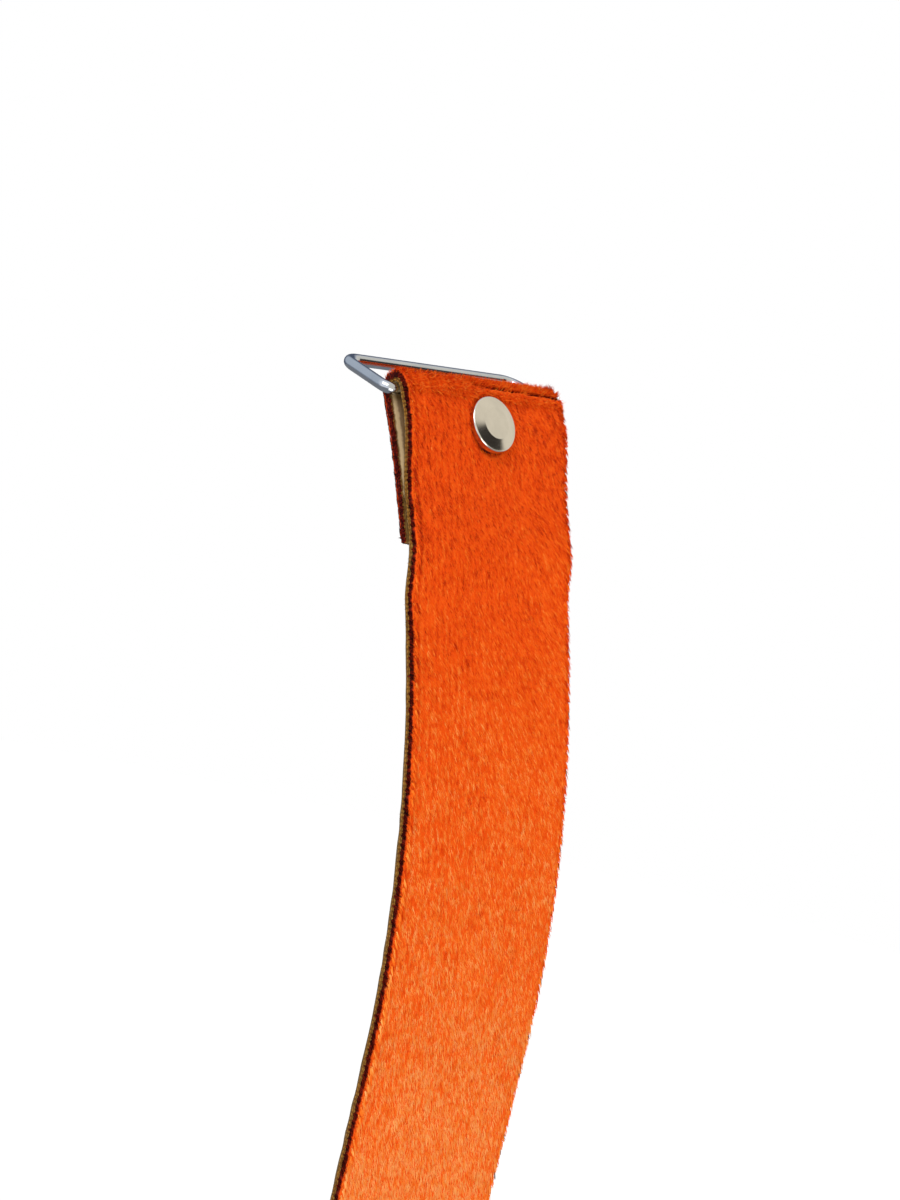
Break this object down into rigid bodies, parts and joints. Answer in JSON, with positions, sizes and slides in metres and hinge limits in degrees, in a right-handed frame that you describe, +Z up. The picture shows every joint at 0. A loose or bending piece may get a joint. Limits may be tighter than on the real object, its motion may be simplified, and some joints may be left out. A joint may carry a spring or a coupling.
{
  "type": "climbing skin",
  "caption": "Plush climbing skin for a narrow touring ski, folded and riveted round a wire tip ring, with a cam-buckled tail strap and hook.",
  "frame": {"origin": "on the glue face's centre line, where the flat run ends and the shovel curve begins", "axes": "+Z up the ski towards its tip, +X across the strip, +Y out of the glue face into the ski base"},
  "size_m": [0.0516, 0.0647, 1.6291],
  "materials": {
    "plush": "short cut pile, laid towards the tail",
    "backing_weave": "woven, adhesive-soaked",
    "membrane_film": "matte film",
    "adhesive": "tacky film",
    "ring_steel": "bright drawn wire",
    "rivet_nickel": "nickel plated",
    "tail_steel": "stamped stainless",
    "cam_alloy": "tumbled",
    "strap_rubber": "moulded, matte"
  },
  "bodies": {
    "skin": {"pile": "plush", "woven_backing": "backing_weave", "membrane": "membrane_film", "glue_layer": "adhesive", "fold_glue": "adhesive", "rivet_front_cap": "rivet_nickel", "rivet_socket": "rivet_nickel", "rivet_post": "rivet_nickel", "rivet_back_cap": "rivet_nickel", "tail_plate": "tail_steel", "tail_backing_plate": "tail_steel", "tail_rivets": "tail_steel", "cam_pin": "tail_steel", "cam_pin_clip": "tail_steel"},
    "ring": {"tip_ring": "ring_steel"},
    "cam": {"cam_lever": "cam_alloy"},
    "strap": {"ladder_strap": "strap_rubber"},
    "hook": {"hook_pin": "tail_steel", "tail_hook": "tail_steel"}
  },
  "joints": [
    {"name": "ring_swing", "type": "hinge", "parent": "skin", "child": "ring", "pos_m": [0, 0.03364, 0.13104], "axis": [1, 0, 0], "range_deg": [-105, 195]},
    {"name": "cam_open", "type": "hinge", "parent": "skin", "child": "cam", "pos_m": [0, -0.0109, -1.416], "axis": [1, 0, 0], "range_deg": [0, 110]},
    {"name": "strap_slide", "type": "slide", "parent": "skin", "child": "strap", "axis": [0, 0, 1], "range_m": [-0.03, 0.02]},
    {"name": "hook_swing", "type": "hinge", "parent": "strap", "child": "hook", "pos_m": [0, -0.0048, -1.476], "axis": [1, 0, 0], "range_deg": [-110, 25]}
  ]
}
